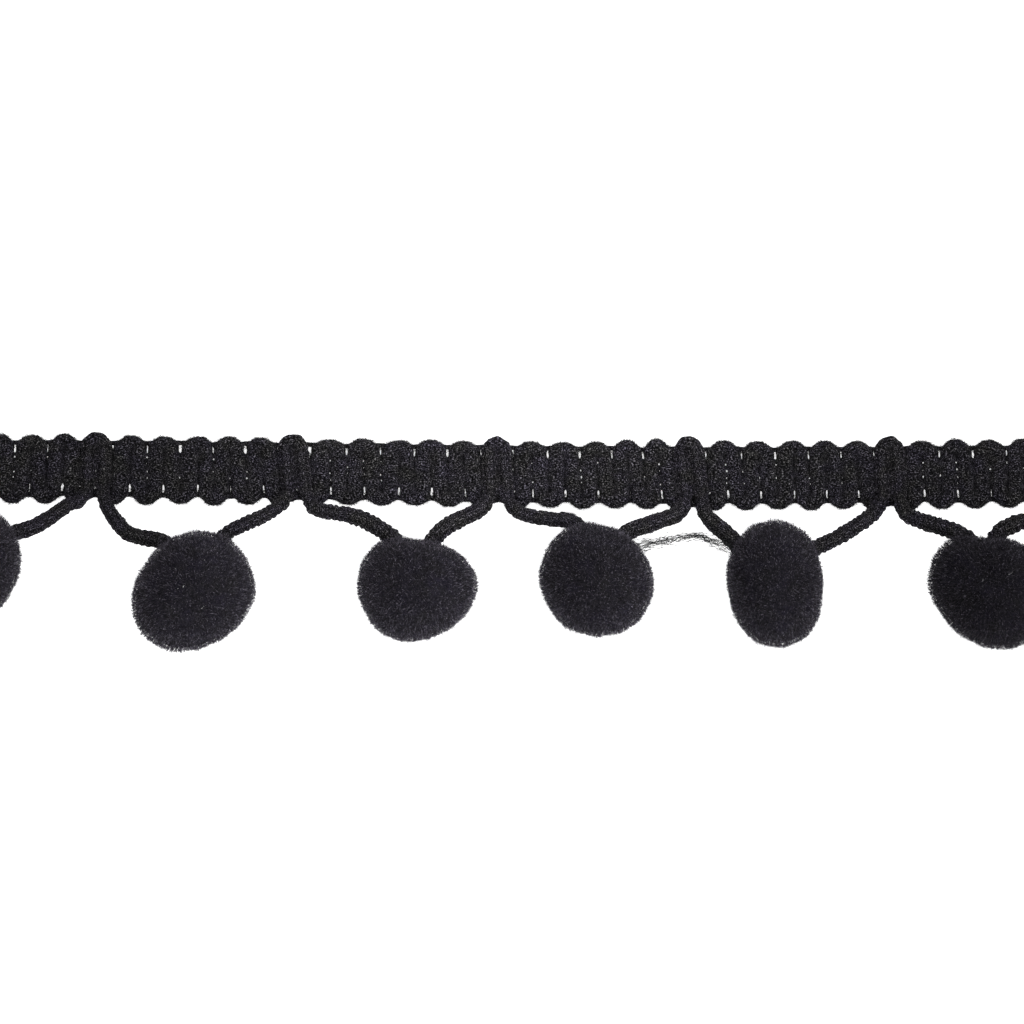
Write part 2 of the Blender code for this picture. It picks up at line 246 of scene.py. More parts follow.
# The weave between two hairpins: how far the ends of its passes lean to the right, how much
# further its middle upper lobe leans, and how far its lobes reach from the middle line
Repeat = namedtuple("Repeat", "upper_lean lower_lean middle_lean upper_reach lower_reach")
REPEATS = (
    Repeat(0.0003, 0.0000, 0.0000, 0.0051, 0.0054),
    Repeat(0.0003, 0.0001, 0.0006, 0.0049, 0.0054),
    Repeat(0.0005, -0.0001, 0.0006, 0.0048, 0.0051),
    Repeat(0.0005, 0.0002, 0.0003, 0.0048, 0.0052),
    Repeat(0.0004, 0.0002, 0.0004, 0.0051, 0.0053),
    Repeat(-0.0002, 0.0001, -0.0002, 0.0051, 0.0053),
)

# The last column is painted light: a factor on each pompom's whole colour for the light falling
# off along the trim
Pompom = namedtuple("Pompom", "x y radius oval oval_deg bulge bulge_deg dent dent_deg depth dye")
POMPOMS = (
    Pompom(-0.0806, -0.0139, 0.0087, 0.0005, 75, 0.0001, 10, 0.0002, 100, 0.0172, 0.85),
    Pompom(-0.0462, -0.0182, 0.0091, 0.0007, 40, 0.0002, -20, 0.0001, 95, 0.0178, 1.00),
    Pompom(-0.0126, -0.0177, 0.0084, 0.0006, -5, 0.0004, 10, 0.0002, 90, 0.0170, 1.10),
    Pompom(0.0148, -0.0164, 0.0086, 0.0003, -45, 0.0001, -15, 0.0003, 80, 0.0172, 1.00),
    Pompom(0.0419, -0.0170, 0.0084, 0.0012, 95, 0.0001, 45, 0.0000, 90, 0.0164, 0.90),
    Pompom(0.0748, -0.0179, 0.0092, 0.0009, 150, 0.0002, 20, 0.0011, 100, 0.0174, 0.55),
)

# Painted light falling off along the trim, a factor on the colour: lightest at this place of the
# heading and its cords, darkest this far from it
PAINTED_LIGHT_PEAK_X = 0.004
PAINTED_LIGHT_PEAK = 1.10
PAINTED_LIGHT_LOW = 0.68
PAINTED_LIGHT_RUN = 0.068

# The cord's legs: how much wider than the cord each is at its root, and from its middle on, and
# its route from the heading to its pompom
Leg = namedtuple("Leg", "hairpin side pompom root rest route")
LEGS = (
    Leg(0, 1, 0, 0.0, 0.0, ((-0.0893, -0.0052), (-0.0880, -0.0064), (-0.0863, -0.0073))),
    Leg(1, -1, 0, 0.0001, 0.0001, ((-0.0634, -0.0044), (-0.0650, -0.0050), (-0.0669, -0.0063),
        (-0.0688, -0.0076), (-0.0708, -0.0086), (-0.0728, -0.0092))),
    Leg(1, 1, 1, 0.0000, 0.0001, ((-0.0596, -0.0047), (-0.0582, -0.0071), (-0.0562, -0.0093),
        (-0.0534, -0.0101), (-0.0509, -0.0106))),
    Leg(2, -1, 1, 0.0001, 0.0000, ((-0.0331, -0.0052), (-0.0361, -0.0070), (-0.0391, -0.0083),
        (-0.0406, -0.0091), (-0.0415, -0.0098))),
    Leg(2, 1, 2, 0.0001, 0.0002, ((-0.0284, -0.0047), (-0.0277, -0.0057), (-0.0243, -0.0063),
        (-0.0211, -0.0071), (-0.0186, -0.0083), (-0.0163, -0.0099))),
    Leg(3, -1, 2, 0.0003, 0.0002, ((-0.0020, -0.0048), (-0.0032, -0.0060), (-0.0059, -0.0073),
        (-0.0083, -0.0087), (-0.0099, -0.0104))),
    Leg(3, 1, 3, 0.0000, 0.0001, ((0.0020, -0.0052), (0.0033, -0.0063), (0.0055, -0.0069),
        (0.0083, -0.0073), (0.0106, -0.0074))),
    Leg(4, -1, 3, 0.0003, 0.0002, ((0.0276, -0.0059), (0.0259, -0.0070), (0.0235, -0.0078),
        (0.0210, -0.0086), (0.0193, -0.0094))),
    Leg(4, 1, 4, 0.0001, 0.0002, ((0.0312, -0.0062), (0.0323, -0.0076), (0.0341, -0.0091),
        (0.0359, -0.0108))),
    Leg(5, -1, 4, 0.0003, 0.0001, ((0.0570, -0.0061), (0.0548, -0.0079), (0.0523, -0.0095),
        (0.0497, -0.0108), (0.0480, -0.0116))),
    Leg(5, 1, 5, 0.0001, 0.0002, ((0.0615, -0.0062), (0.0629, -0.0071), (0.0659, -0.0081),
        (0.0683, -0.0088), (0.0702, -0.0097), (0.0714, -0.0106))),
    Leg(6, -1, 5, 0.0001, 0.0002, ((0.0886, -0.0054), (0.0864, -0.0062), (0.0821, -0.0071),
        (0.0797, -0.0075), (0.0778, -0.0081), (0.0763, -0.0088), (0.0754, -0.0099))),
)

# Where a leg is wider than the cord
LEG_ROOT_REACH = (0.0045, 0.0075)
LEG_WIDE_RISE = (0.0040, 0.0010)
LEG_PART = 0.0006

# The loose wisp between two pompoms: its middle line and half width, and its strands
WISP_PATH = ((0.0196, -0.0113, 0.0084), (0.0220, -0.0112, 0.0078), (0.0246, -0.0107, 0.0068),
             (0.0274, -0.0102, 0.0062), (0.0297, -0.0098, 0.0060), (0.0321, -0.0104, 0.0064),
             (0.0343, -0.0113, 0.0072), (0.0364, -0.0124, 0.0080))
WISP_SPREADS = (0.00062, 0.00054, 0.00046, 0.00040, 0.00028, 0.00038, 0.00044, 0.00048)
WISP_STEP = 0.00030
WISP_STRANDS = 480
WISP_LONG_STRANDS = 12
WISP_SHORT_STEPS = (3, 6)
WISP_TRIM = 4
WISP_RADII = (0.000016, 0.000040)
WISP_PLIES = 3
WISP_TWIST = 7.5
WISP_STRAY = 1.05
WISP_LIFT = 0.5
WISP_CURL = 0.00022
WISP_TURN = 6.3

# Specks of pale lint on the pile, each from one end to the other
PILE_TOP = 1.065
Lint = namedtuple("Lint", "pompom ends radius")
LINT = (
    Lint(1, ((-0.04762, -0.01752), (-0.04740, -0.01714)), 0.000065),
    Lint(1, ((-0.04842, -0.01775), (-0.04824, -0.01762)), 0.000040),
    Lint(1, ((-0.04478, -0.02078), (-0.04456, -0.02038)), 0.000032),
    Lint(1, ((-0.04452, -0.02038), (-0.04432, -0.02044)), 0.000028),
    Lint(1, ((-0.04440, -0.01345), (-0.04422, -0.01335)), 0.000030),
    Lint(1, ((-0.04885, -0.01475), (-0.04865, -0.01462)), 0.000036),
    Lint(5, ((0.07700, -0.01560), (0.07745, -0.01545)), 0.000028),
    Lint(5, ((0.07745, -0.01545), (0.07772, -0.01510)), 0.000026),
    Lint(5, ((0.07318, -0.01625), (0.07310, -0.01690)), 0.000030),
    Lint(5, ((0.07318, -0.01725), (0.07304, -0.01750)), 0.000026),
)

UP = np.array([0.0, 0.0, 1.0])
LUMP_WAVES = 14
LUMP_RATES = (0.7, 1.4)
LUMP_HEIGHT = 2.2


# Small tools


def mix(start, end, share):
    return start + (end - start) * share


def smooth(share):
    share = np.clip(share, 0.0, 1.0)
    return share * share * (3 - 2 * share)


def rising(value, start, run):
    """0 up to the start, and 1 from this run past it on."""
    return smooth((value - start) / run)


def unit(vectors):
    return vectors / np.maximum(np.linalg.norm(vectors, axis=-1, keepdims=True), 1e-12)


def lumps(points, size, seed):
    """A smooth uneven field, about -1 to 1, with lumps of about this size."""
    rng = np.random.default_rng(seed)
    ways = unit(rng.normal(size=(LUMP_WAVES, 3)))
    waves = ways * (2 * math.pi / size) * rng.uniform(*LUMP_RATES, (LUMP_WAVES, 1))
    turns = rng.uniform(0, 2 * math.pi, LUMP_WAVES)
    return np.sin(points @ waves.T + turns).mean(axis=-1) * LUMP_HEIGHT


def arc_lengths(points):
    return np.concatenate([[0.0], np.cumsum(np.linalg.norm(np.diff(points, axis=0), axis=-1))])


def tangents(line):
    return unit(np.gradient(line, axis=0))


def across(along):
    """Level across these directions, none of which stands upright, and square to both."""
    aside = unit(np.cross(along, UP))
    return aside, np.cross(aside, along)


def over_ground(points):
    points[..., 2] = np.maximum(points[..., 2], YARN_LIFT)
    return points


def mesh_object(name, points, faces, attributes, dye=None):
    """A smooth object from arrays of points, faces and the points' attributes, by name.

    Where none is given, its painted light falloff is that of its place along the trim.
    """
    mesh = bpy.data.meshes.new(name)
    mesh.from_pydata(points.tolist(), [], faces.tolist(), shade_flat=False)
    if dye is None:
        dye = mix(PAINTED_LIGHT_PEAK, PAINTED_LIGHT_LOW, smooth(np.abs(points[:, 0] - PAINTED_LIGHT_PEAK_X) / PAINTED_LIGHT_RUN))
    for label, values in {**attributes, "dye": np.broadcast_to(dye, len(points))}.items():
        kind, key = ("FLOAT_VECTOR", "vector") if np.ndim(values) == 2 else ("FLOAT", "value")
        mesh.attributes.new(label, kind, "POINT").data.foreach_set(
            key, np.asarray(values, np.float32).ravel()
        )
    mesh.validate()
    made = bpy.data.objects.new(name, mesh)
    bpy.context.scene.collection.objects.link(made)
    return made


def joined_object(name, parts, dye=None):
    """One object from (points, faces, attributes) parts.

    Where a part has fewer values than points, each value stands for as many points in a row.
    """
    points, faces, attributes, start = [], [], {}, 0
    for part_points, part_faces, part_attributes in parts:
        points.append(part_points)
        faces.append(part_faces + start)
        for label, values in part_attributes.items():
            values = np.repeat(values, len(part_points) // len(values), axis=0)
            attributes.setdefault(label, []).append(values)
        start += len(part_points)
    attributes = {label: np.concatenate(values) for label, values in attributes.items()}
    return mesh_object(name, np.concatenate(points), np.concatenate(faces), attributes, dye)


def tube(rings, **attributes):
    """Points, triangles and attributes of a closed tube through rings of points."""
    count, sides = rings.shape[:2]
    ring, side = np.indices((count - 1, sides))
    a = ring * sides + side
    b = ring * sides + (side + 1) % sides
    c, d = a + sides, b + sides
    walls = np.stack([a, c, b, b, c, d], axis=-1).reshape(-1, 3)
    fan = np.arange(1, sides - 1)
    near = np.stack([0 * fan, fan, fan + 1], axis=-1)
    far = near[:, [0, 2, 1]] + (count - 1) * sides
    flat = {label: np.reshape(values, (-1, 3) if np.ndim(values) == 3 else -1)
            for label, values in attributes.items()}
    return rings.reshape(-1, 3), np.concatenate([walls, near, far]), flat


# The heading's own coordinates


def sway(x):
    """How far the middle line of the heading wanders from Y = 0 at x."""
    return SWAY * np.cos(math.pi * (x - SWAY_CREST_X) / SWAY_HALF_WAVE)


def repeat_values(passes, *names):
    """The passes since the last hairpin, and what the table of repeats says under these names."""
    index = np.clip(np.floor(passes / REPEAT_PASSES), 0, len(REPEATS) - 1).astype(int)
    columns = [np.array([getattr(repeat, name) for repeat in REPEATS]) for name in names]
    return passes - index * REPEAT_PASSES, *(column[index] for column in columns)


def weave_x(passes, y):
    """X at a place counted in passes, this far up from the heading's middle line."""
    passes = np.asarray(passes, float)
    share = (y / HALF + 1) / 2
    at = REPEAT_PASSES * np.arange(len(HAIRPINS))
    beyond = PASS_PITCH * (passes - np.clip(passes, 0, LAST_PASS))
    lower = np.interp(passes, at, [hairpin.lower_x for hairpin in HAIRPINS])
    upper = np.interp(passes, at, [hairpin.upper_x for hairpin in HAIRPINS])
    since, lower_lean, upper_lean, middle_lean = repeat_values(
        passes, "lower_lean", "upper_lean", "middle_lean")
    middle = middle_lean * np.maximum(0, 1 - np.abs(since - REPEAT_PASSES / 2))
    full = np.minimum(since / LEAN_RISE, (REPEAT_PASSES - 1 - since) / LEAN_FALL)
    lean = mix(lower_lean, upper_lean + middle, share) * np.clip(full, 0, 1)
    return mix(lower, upper, share) + beyond + lean


def lobe_end(whole, side):
    """How far the lobe at this whole pass reaches from the middle line."""
    reach = float(repeat_values(whole, "upper_reach" if side > 0 else "lower_reach")[1])
    reach += LOBE_UNEVEN * math.sin(LOBE_UNEVEN_RATE * whole)
    if whole in FULL_LOBES:
        reach += FULL_LOBE_RISE
    if side < 0 and beside_hairpin(whole):
        reach += BESIDE_RISE
    return reach


def place(passes, y, z):
    """Points of the heading at arrays of places."""
    x = weave_x(passes, y)
    return np.stack([x, y + sway(x), z + 0 * x], axis=-1)


# Weft yarn


def beside_hairpin(valley):
    """Whether this valley lies between the weft and a hairpin of the cord."""
    return valley % REPEAT_PASSES in (1, REPEAT_PASSES - 1)


def gap(valley, y):
    """Open width between the two passes beside a valley. Below zero they press together."""
    valley = int(valley)
    rng = np.random.default_rng(VALLEY_SEED + valley)
    beside = beside_hairpin(valley)
    overlap = HAIRPIN_OVERLAP if beside else CLOSED_OVERLAP
    ragged = SLIT_RAGGED
    for rate in SLIT_RAGGED_RATES:
        ragged = ragged * np.sin(rate * y + rng.uniform(0, SLIT_RAGGED_TURN))
    width = overlap / 2 if beside else overlap + rng.uniform(*SLIT_WIDTHS)
    slit_side = 1 if valley % 2 else -1
    share = rising(slit_side * y, *SLIT_RISE)
    open_width = (width + ragged) * share - overlap
    chance = DOT_CHANCES[int(rng.random() < DOTTED_SEAMS)]
    if beside:
        return open_width
    for near, far in zip(THIN_WARPS, THIN_WARPS[1:]):
        shown, width = rng.random() < chance, rng.uniform(*DOT_WIDTHS)
        middle = mix(near.y, far.y, rng.uniform(*DOT_PLACES))
        if shown:
            open_width = open_width + width * np.exp(-(((y - middle) / DOT_LENGTH) ** 2))
    return open_width


# The two sides of the yarn at each of its sections, in passes and in metres up from the middle
# line, with its height
Rails = namedtuple("Rails", "left_u left_y right_u right_y z half_height")


def joined(parts):
    return Rails(*(np.concatenate(columns) for columns in zip(*parts)))


def swapped(rails):
    return Rails(rails.right_u, rails.right_y, rails.left_u, rails.left_y, *rails[4:])


def backwards(rails):
    return Rails(*(column[::-1] for column in rails))


def seam_wander(valley, y):
    """How far the seam between two passes strays sideways."""
    rate = SEAM_RATE + SEAM_RATE_SPREAD * math.sin(SEAM_RATE_STEP * valley)
    return SEAM_WANDER * np.sin(rate * y + SEAM_TURN * valley) * (1 - (y / TURN_CENTRE) ** 2)


def pass_rails(middle):
    """The two sides of one pass, going up."""
    y = np.linspace(-TURN_CENTRE, TURN_CENTRE, PASS_SECTIONS)
    pinch = sum(np.exp(-(((y - warp.y) / WARP_PINCH_LENGTH) ** 2)) for warp in THIN_WARPS)
    left = middle - 0.5 + (gap(middle - 0.5, y) / 2 + seam_wander(middle - 0.5, y)) / PASS_PITCH
    right = middle + 0.5 - (gap(middle + 0.5, y) / 2 - seam_wander(middle + 0.5, y)) / PASS_PITCH
    height = YARN_HALF_HEIGHT - WARP_PINCH * pinch
    return Rails(left, y, right, y, YARN_LIFT + YARN_HALF_HEIGHT + 0 * y, height)


def lobe_outline(angle, half_width, tip, dip):
    """Distance from the turn's middle to the lobe's outline: a waved end and straight sides."""
    off = np.linspace(PASS_PITCH, 0, LOBE_POINTS)
    fall = ((1 - np.cos(math.pi * off / PASS_PITCH)) / 2) ** LOBE_FULLNESS
    end = mix(tip, dip, mix(fall, smooth(fall), LOBE_STEEPNESS))
    folded = np.minimum(angle, math.pi - angle)
    end_reach = np.interp(folded, np.arctan2(end, off), np.hypot(end, off))
    wall_reach = half_width / np.maximum(np.abs(np.cos(angle)), 1e-6)
    return (end_reach**-LOBE_CORNER + wall_reach**-LOBE_CORNER) ** (-1 / LOBE_CORNER)


def turn_rails(valley, side):
    """The yarn's turn in the lobe at this valley, from its left pass to its right one."""
    angle = np.linspace(math.pi, 0, TURN_SECTIONS + 2)[1:-1]
    edge = np.array([side * TURN_CENTRE])
    walls = [PASS_PITCH - gap(valley + step, edge)[0] / 2 for step in (-1, 1)]
    half_width = np.where(angle > math.pi / 2, *walls)
    reach = lobe_outline(angle, half_width, lobe_end(round(valley), side) - TURN_CENTRE,
                         DIP_REACH[side] - DIP_BELOW_WARP - TURN_CENTRE)
    outer_u = valley + reach * np.cos(angle) / PASS_PITCH
    outer_y = side * (TURN_CENTRE + reach * np.sin(angle))
    inner_u = valley - CLOSED_OVERLAP / 2 * np.cos(angle) / PASS_PITCH
    flat = 0 * angle
    inner_y = side * (TURN_CENTRE + flat)
    rails = Rails(outer_u, outer_y, inner_u, inner_y,
                  flat + YARN_LIFT + YARN_HALF_HEIGHT,
                  flat + YARN_HALF_HEIGHT * (1 - TURN_FLATTER * np.sin(angle)))
    return rails if side > 0 else swapped(rails)


def float_rails(hairpin):
    """The yarn's way behind a hairpin along the lower edge, from pass to pass."""
    middle = hairpin * REPEAT_PASSES
    web = HAIRPINS[hairpin].web
    halves = []
    for side in (-1, 1):
        lobe = lobe_end(middle + side, -1)
        # The outer and the inner side, in passes from the hairpin and metres down
        knots = (
            (1.96, TURN_CENTRE, 0.95, TURN_CENTRE),
            (1.94, 0.0038, 0.95, 0.0027),
            (1.80, 0.0044, 0.94, 0.0028),
            (1.40, lobe - 0.0001, 0.90, 0.0029),
            (1.0, lobe, 0.80, 0.0030),
            (0.7, mix(lobe, web, 0.5), 0.5, 0.0031),
            (0.0, web, 0.0, 0.0031),
        )
        share = np.linspace(0, 1, FLOAT_SECTIONS // 2 + 1)[1:]
        at = np.linspace(0, 1, len(knots))
        outer_u, outer_y, inner_u, inner_y = (np.interp(share, at, row) for row in zip(*knots))
        sunk = rising(share, *FLOAT_SINK)
        z = mix(YARN_LIFT + YARN_HALF_HEIGHT, FLOAT_Z, sunk)
        height = mix(YARN_HALF_HEIGHT, FLOAT_HALF_HEIGHT, sunk)
        halves.append(Rails(middle + side * inner_u, -inner_y,
                            middle + side * outer_u, -outer_y, z, height))
    return joined([halves[0], Rails(*(column[-2::-1] for column in halves[1]))])


def weft_rails():
    """The whole weft, one yarn from the left cut to the right one."""
    parts, upward = [], True
    middle, last = 0.5 - END_PASSES, LAST_PASS + END_PASSES - 0.5
    while True:
        rails = pass_rails(middle)
        parts.append(rails if upward else swapped(backwards(rails)))
        if middle == last:
            return joined(parts)
        hairpin, passes_past = divmod(round(middle + 1.5), REPEAT_PASSES)
        if upward or passes_past:
            parts.append(turn_rails(middle + 0.5, 1 if upward else -1))
            middle += 1
        else:
            parts.append(float_rails(hairpin))
            middle += 3
        upward = not upward


def yarn_places(run, around):
    """The yarn's own coordinates, along it and round it, a ring of them a section."""
    return np.stack(np.broadcast_arrays(run[:, None], around[None], 0.0), axis=-1)


def yarn_roughness(points, lump, lump_size, lump_seed, grain_seed):
    """How far the yarn stands out at rings of points: lumps of this height and size, and grain."""
    places = points.reshape(-1, 3)
    rough = (lump * lumps(places, lump_size, lump_seed)
             + YARN_GRAIN * lumps(places, YARN_GRAIN_SIZE, grain_seed))
    return rough.reshape(points.shape[:2])


def yarn_surface(rails):
    """The weft's points, outward normals, yarn places and relief for painted shade, a ring of them
    a section.
    """
    left = place(rails.left_u, rails.left_y, rails.z)
    right = place(rails.right_u, rails.right_y, rails.z)
    middle, half = (left + right) / 2, (right - left) / 2
    past = YARN_FACE_PAST_LEVEL
    face = np.linspace(-past * math.pi, (1 + past) * math.pi, YARN_TOP_SIDES)
    back = np.linspace((1 + past) * math.pi, (2 - past) * math.pi, YARN_BACK_SIDES + 2)[1:-1]
    angle = np.concatenate([face, back])
    level, upright = np.cos(angle), np.sin(angle)
    power = 2 / YARN_SQUARENESS
    out = np.sign(level) * np.abs(level) ** power
    up = np.sign(upright) * np.abs(upright) ** power
    points = (middle[:, None] + out[None, :, None] * half[:, None]
              + (up[None, :] * rails.half_height[:, None])[..., None] * UP)
    width = np.linalg.norm(half, axis=-1)[:, None]
    normals = unit(level[None, :, None] * unit(half)[:, None] / width[..., None]
                   + (upright[None, :] / rails.half_height[:, None])[..., None] * UP)
    yarn = yarn_places(arc_lengths(middle), angle * PASS_PITCH / 2)
    rough = yarn_roughness(points, YARN_LUMP, YARN_LUMP_SIZE, lump_seed=11, grain_seed=12)
    top_share = np.abs(upright)[None, :, None]
    rough_steps = normals * rough[..., None] * mix(YARN_SIDE_ROUGH, 1.0, top_share)
    points = over_ground(points + rough_steps)
    # Painted shade and light: through this relief, low lumps and the seams between passes colour
    # darker, high lumps lighter
    relief = 0.5 + rough / (3 * YARN_LUMP)
    return points, normals, yarn, relief - SEAM_SHADE * np.abs(level) ** SEAM_SHADE_POWER


# Warp threads


def warp_points(warp):
    """A warp's line: up between two passes, down behind them and behind each hairpin."""
    steps = np.arange(-END_PASSES * WARP_STEPS, (LAST_PASS + END_PASSES) * WARP_STEPS + 1)
    u = steps / WARP_STEPS
    u = np.concatenate([[u[0] - WARP_END / PASS_PITCH], u, [u[-1] + WARP_END / PASS_PITCH]])
    rise = (0.5 + 0.5 * np.cos(2 * math.pi * u)) ** WARP_RISE_POWER
    nearest = np.clip(np.round(u / REPEAT_PASSES), 0, len(HAIRPINS) - 1) * REPEAT_PASSES
    clear = rising(np.abs(u - nearest), *WARP_CLEAR)
    low = WARP_LOW if warp.radius < WARP_THICK else WARP_LOW + warp.radius / 2
    z = mix(low, WARP_HIGH, rise * clear)
    wander = sum(reach * np.sin(rate * u + turn * warp.y) for reach, rate, turn in WARP_WANDERS)
    return place(u, warp.y + wander, z)


def ring_steps(line, sides, width=1.0, height=1.0):
    """Steps out from a line to a ring of points round each of its points, and their angles."""
    aside, upward = across(tangents(line))
    angle = 2 * math.pi * np.arange(sides) / sides - math.pi / 2
    steps = (np.cos(angle)[None, :, None] * aside[:, None] * width
             + np.sin(angle)[None, :, None] * upward[:, None] * height)
    return steps, angle


def round_tube(line, radius, sides):
    """Rings of points and their normals round a line."""
    normals = ring_steps(line, sides)[0]
    return line[:, None] + radius * normals, normals


# Pompom cord


def catmull_rom(points, spacing):
    """Points about this far apart on a smooth curve through the given ones."""
    points = [np.asarray(point, float) for point in points]
    padded = [2 * points[0] - points[1], *points, 2 * points[-1] - points[-2]]
    curve = []
    for a, b, c, d in zip(padded, padded[1:], padded[2:], padded[3:]):
        steps = max(1, round(np.linalg.norm(c - b) / spacing))
        for i in range(steps):
            t = i / steps
            curve.append(0.5 * (2 * b + (c - a) * t + (2 * a - 5 * b + 4 * c - d) * t**2
                                + (3 * b - a - 3 * c + d) * t**3))
    return np.array(curve + [points[-1]])


def evenly(points, spacing):
    """The same line with evenly spaced points."""
    run = arc_lengths(points)
    at = np.linspace(0, run[-1], round(run[-1] / spacing) + 1)
    return np.stack([np.interp(at, run, points[:, k]) for k in range(3)], axis=-1)


def eased(points, reach):
    """The line with its corners rounded over this many points either way; its ends stay."""
    padded = np.concatenate([2 * points[0] - points[reach:0:-1], points,
                             2 * points[-1] - points[-2:-reach - 2:-1]])
    window = np.hanning(2 * reach + 3)[1:-1]
    window /= window.sum()
    return np.stack([np.convolve(padded[:, k], window, "valid") for k in range(3)], axis=-1)


def pass_point(hairpin, side, y):
    """A point of the cord where it lies in the heading, beside its hairpin's axis."""
    x = weave_x(hairpin * REPEAT_PASSES, y) + side * CORD_PASS_OFFSET
    return np.array([x, y + sway(x), CORD_LIE])


def pompom_middle(pompom):
    return np.array([pompom.x, pompom.y, pompom.depth / 2 - FLAT_SPOT_DEPTH])


def leg_points(leg):
    """The leg's centre line from the heading into its pompom, rising as it goes."""
    plan = [np.array([*point, 0.0]) for point in leg.route]
    inward = pompom_middle(POMPOMS[leg.pompom]) * (1, 1, 0) - plan[-1]
    plan.append(plan[-1] + SOCKET_DEPTH * unit(unit(plan[-1] - plan[-2]) + unit(inward)))
    plan.insert(0, pass_point(leg.hairpin, leg.side, CORD_ROOT) * (1, 1, 0))
    curve = catmull_rom(plan, CORD_STEP)
    run = arc_lengths(curve)
    curve[:, 2] = mix(CORD_LIE, ENTRY_HEIGHT, np.sin(math.pi / 2 * run / run[-1]))
    return curve


def cord_points(hairpin):
    """The whole run of the cord at one hairpin. Beyond an outer hairpin it is cut at the edge."""
    legs = {leg.side: leg_points(leg) for leg in LEGS if leg.hairpin == hairpin}
    left, right = (legs.get(side, pass_point(hairpin, side, CORD_ROOT)[None]) for side in (-1, 1))
    middle = HALF + HAIRPINS[hairpin].rise - CORD_RADIUS - CORD_PASS_OFFSET
    centre_x = weave_x(hairpin * REPEAT_PASSES, middle)
    angle = np.linspace(math.pi, 0, CORD_TURN_POINTS)
    x = centre_x + CORD_PASS_OFFSET * np.cos(angle)
    y = middle + CORD_PASS_OFFSET * np.sin(angle)
    turn = np.stack([x, y + sway(x), np.full_like(x, CORD_LIE)], axis=-1)
    return eased(evenly(np.concatenate([left[::-1], turn, right]), CORD_STEP), CORD_BEND)


def knit(run, angle):
    """The knitted cord's relief, 0 to 1: wales of small V stitches along it."""
    wale = (angle * CORD_WALES / (2 * math.pi)) % 1.0 - 0.5
    stitch = 0.5 + 0.5 * np.cos(2 * math.pi * (run / CORD_STITCH + STITCH_LEAN * np.abs(wale)))
    ridge = np.sqrt(np.maximum(np.cos(math.pi * wale), 0.0))
    crease = WALE_CREASE * np.exp(-((wale / WALE_CREASE_WIDTH) ** 2))
    return ridge * mix(STITCH_LOW, 1.0, stitch) * (1 - crease)


def leg_extra(hairpin, x, below):
    """How much wider each leg of this hairpin is than the cord, from its root to its pompom."""
    extra = np.zeros_like(x)
    for leg in LEGS:
        if leg.hairpin == hairpin:
            past = (x - weave_x(hairpin * REPEAT_PASSES, -HALF)) * leg.side
            on_leg = smooth(past / LEG_PART) * rising(below, *LEG_WIDE_RISE)
            extra = extra + on_leg * np.interp(below, LEG_ROOT_REACH, (leg.root, leg.rest))
    return extra


def cord_surface(hairpin):
    """Points, outward normals, yarn places and stitch heights of one run of the cord."""
    line = cord_points(hairpin)
    run = arc_lengths(line)
    local_y = line[:, 1] - sway(line[:, 0])
    inside = rising(local_y, *CORD_PASS_RISE)
    at_tip = rising(local_y, *CORD_TIP_RISE)
    on_leg = rising(-local_y, *LEG_SWELL)
    radius = mix(CORD_RADIUS, LEG_RADIUS, on_leg)
    half_width = mix(radius, mix(CORD_PASS_HALF_WIDTH, CORD_TIP_HALF_WIDTH, at_tip), inside)
    half_width = half_width + leg_extra(hairpin, line[:, 0], -local_y)
    swell = 1 + (CORD_SWELL * np.sin(2 * math.pi * run / CORD_SWELL_LENGTH + hairpin)
                 * np.sin(CORD_SWELL_RATE * run + hairpin))
    out, angle = ring_steps(line, CORD_SIDES, (half_width * swell)[:, None, None],
                            (radius * swell)[:, None, None])
    normals = unit(out)
    stitches = knit(run[:, None], angle[None, :])
    relief = CORD_STITCH_DEPTH * (stitches - STITCH_MIDDLE) * mix(1.0, TIP_RELIEF, at_tip)[:, None]
    points = line[:, None] + out
    rough = yarn_roughness(points, CORD_LUMP, CORD_LUMP_SIZE, 50 + hairpin, 40 + hairpin)
    points = points + normals * (relief + rough)[..., None]
    return points, normals, yarn_places(run, angle * CORD_RADIUS), stitches


# Pompoms


def outline_radius(pompom, angle):
    """The pompom's radius seen from above, towards this angle."""
    oval = np.cos(2 * (angle - math.radians(pompom.oval_deg)))
    bulge = np.cos(3 * (angle - math.radians(pompom.bulge_deg)))
    off = (angle - math.radians(pompom.dent_deg) + math.pi) % (2 * math.pi) - math.pi
    dent = np.exp(-((off / DENT_WIDTH) ** 2))
    return pompom.radius + pompom.oval * oval + pompom.bulge * bulge - pompom.dent * dent


def pompom_surface(pompom, number, direction, share):
    """Points at this share of the way from the pompom's middle to its pile's face."""
    x, y, z = TUFT_RATE * direction.T
    shift = [number * step for step in TUFT_SHIFTS]
    tuft = np.sin(x + shift[0]) * np.sin(y + z + shift[1]) * np.cos(z - x - shift[2])
    swell = (1 + TUFT_RISE * tuft) * share
    reach = outline_radius(pompom, np.arctan2(direction[:, 1], direction[:, 0]))
    local = direction * np.stack([reach, reach, 0 * reach + pompom.depth / 2], axis=-1)
    return over_ground(pompom_middle(pompom) + local * swell[:, None])


def spread_directions(count, rng):
    """Directions spread evenly over a sphere and then jittered."""
    i = np.arange(count) + 0.5
    height = 1 - 2 * i / count
    turn = math.pi * (1 + math.sqrt(5)) * i
    flat = np.sqrt(1 - height**2)
    even = np.stack([flat * np.cos(turn), flat * np.sin(turn), height], axis=-1)
    return unit(even + rng.normal(size=even.shape) * WAY_JITTER / math.sqrt(count))


